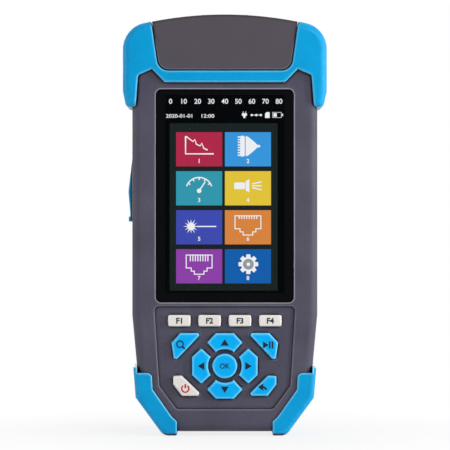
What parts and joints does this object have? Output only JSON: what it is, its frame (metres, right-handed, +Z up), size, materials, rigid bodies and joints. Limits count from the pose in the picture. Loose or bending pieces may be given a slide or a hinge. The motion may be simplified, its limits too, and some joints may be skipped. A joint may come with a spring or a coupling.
{
  "type": "optical time domain reflectometer",
  "caption": "Hand-held optical time domain reflectometer with a tall display, keypad, soft corner bumpers, capped fibre ports, side sockets and a fold-out stand.",
  "frame": {"origin": "base plane of the two lower bumpers, under the middle of the case's width and depth", "axes": "+X to the right seen from the front, +Y from the display towards the back, +Z up from the keypad to the fibre ports"},
  "size_m": [0.0978, 0.0452, 0.2024],
  "materials": {
    "shell_grey": "fine spark-eroded texture, satin",
    "bumper_blue": "soft overmould, satin",
    "cover_black": "satin",
    "window_black": "polished, printed black border",
    "key_light": "satin",
    "key_blue": "satin",
    "silicone_dark": "matt",
    "display_frame": "satin",
    "film_amber": "satin",
    "board_green": "solder mask",
    "chip_black": "matt",
    "metal_bright": "nickel plated",
    "screw_steel": "zinc plated",
    "contact_gold": "gold plated",
    "fibre_yellow": "fibre jacket",
    "spool_white": "satin",
    "cell_green": "sleeved"
  },
  "bodies": {
    "instrument": {"front_shell": "shell_grey", "rear_shell": "shell_grey", "case_seal": "silicone_dark", "top_bumper": "bumper_blue", "bottom_bumper_left": "bumper_blue", "bottom_bumper_right": "bumper_blue", "display_window": "window_black", "window_gasket": "silicone_dark", "lcd_module": "display_frame", "lcd_flex": "film_amber", "keypad_mat": "silicone_dark", "keypad_board": "board_green", "keypad_screws": "screw_steel", "case_screws": "screw_steel", "board_screws": "screw_steel", "door_screws": "screw_steel", "main_board": "board_green", "board_chips": "chip_black", "laser_module": "metal_bright", "detector_module": "metal_bright", "buzzer": "chip_black", "fibre_spool": "spool_white", "fibre_coil": "fibre_yellow", "connector_panel": "cover_black", "otdr_port": "metal_bright", "power_port": "metal_bright", "visual_port": "metal_bright", "rj45_jack_left": "metal_bright", "rj45_jack_right": "metal_bright", "jack_contacts": "contact_gold", "dust_cover_pin": "screw_steel", "side_port_panel": "cover_black", "usb_socket": "metal_bright", "card_socket": "metal_bright", "power_socket": "cover_black", "power_pin": "metal_bright", "side_flap_pin": "screw_steel", "battery_cells": "cell_green", "battery_contacts": "contact_gold", "battery_door": "shell_grey", "stand_pins": "screw_steel"},
    "key_f1": {"key_f1": "key_light"},
    "key_f2": {"key_f2": "key_light"},
    "key_f3": {"key_f3": "key_light"},
    "key_f4": {"key_f4": "key_light"},
    "key_up": {"key_up": "key_blue"},
    "key_left": {"key_left": "key_blue"},
    "key_down": {"key_down": "key_blue"},
    "key_right": {"key_right": "key_blue"},
    "key_search": {"key_search": "key_blue"},
    "key_run": {"key_run": "key_blue"},
    "key_power": {"key_power": "key_light"},
    "key_back": {"key_back": "key_blue"},
    "key_ok": {"key_ok": "key_blue"},
    "dust_cover": {"dust_cover": "cover_black"},
    "side_flap": {"side_flap": "bumper_blue"},
    "kickstand": {"kickstand": "cover_black"}
  },
  "joints": [
    {"name": "press_f1", "type": "slide", "parent": "instrument", "child": "key_f1", "axis": [0, 1, 0], "range_m": [0, 0.001], "stiffness_N_per_m": 500},
    {"name": "press_f2", "type": "slide", "parent": "instrument", "child": "key_f2", "axis": [0, 1, 0], "range_m": [0, 0.001], "stiffness_N_per_m": 500},
    {"name": "press_f3", "type": "slide", "parent": "instrument", "child": "key_f3", "axis": [0, 1, 0], "range_m": [0, 0.001], "stiffness_N_per_m": 500},
    {"name": "press_f4", "type": "slide", "parent": "instrument", "child": "key_f4", "axis": [0, 1, 0], "range_m": [0, 0.001], "stiffness_N_per_m": 500},
    {"name": "press_up", "type": "slide", "parent": "instrument", "child": "key_up", "axis": [0, 1, 0], "range_m": [0, 0.001], "stiffness_N_per_m": 500},
    {"name": "press_left", "type": "slide", "parent": "instrument", "child": "key_left", "axis": [0, 1, 0], "range_m": [0, 0.001], "stiffness_N_per_m": 500},
    {"name": "press_down", "type": "slide", "parent": "instrument", "child": "key_down", "axis": [0, 1, 0], "range_m": [0, 0.001], "stiffness_N_per_m": 500},
    {"name": "press_right", "type": "slide", "parent": "instrument", "child": "key_right", "axis": [0, 1, 0], "range_m": [0, 0.001], "stiffness_N_per_m": 500},
    {"name": "press_search", "type": "slide", "parent": "instrument", "child": "key_search", "axis": [0, 1, 0], "range_m": [0, 0.001], "stiffness_N_per_m": 500},
    {"name": "press_run", "type": "slide", "parent": "instrument", "child": "key_run", "axis": [0, 1, 0], "range_m": [0, 0.001], "stiffness_N_per_m": 500},
    {"name": "press_power", "type": "slide", "parent": "instrument", "child": "key_power", "axis": [0, 1, 0], "range_m": [0, 0.001], "stiffness_N_per_m": 500},
    {"name": "press_back", "type": "slide", "parent": "instrument", "child": "key_back", "axis": [0, 1, 0], "range_m": [0, 0.001], "stiffness_N_per_m": 500},
    {"name": "press_ok", "type": "slide", "parent": "instrument", "child": "key_ok", "axis": [0, 1, 0], "range_m": [0, 0.001], "stiffness_N_per_m": 500},
    {"name": "dust_cover_hinge", "type": "hinge", "parent": "instrument", "child": "dust_cover", "pos_m": [0, 0.0106, 0.2004], "axis": [-1, 0, 0], "range_deg": [0, 110]},
    {"name": "side_flap_hinge", "type": "hinge", "parent": "instrument", "child": "side_flap", "pos_m": [-0.0436, 0, 0.1336], "axis": [0, 1, 0], "range_deg": [0, 85]},
    {"name": "kickstand_hinge", "type": "hinge", "parent": "instrument", "child": "kickstand", "pos_m": [0, 0.0204, 0.124], "axis": [1, 0, 0], "range_deg": [0, 50]}
  ]
}
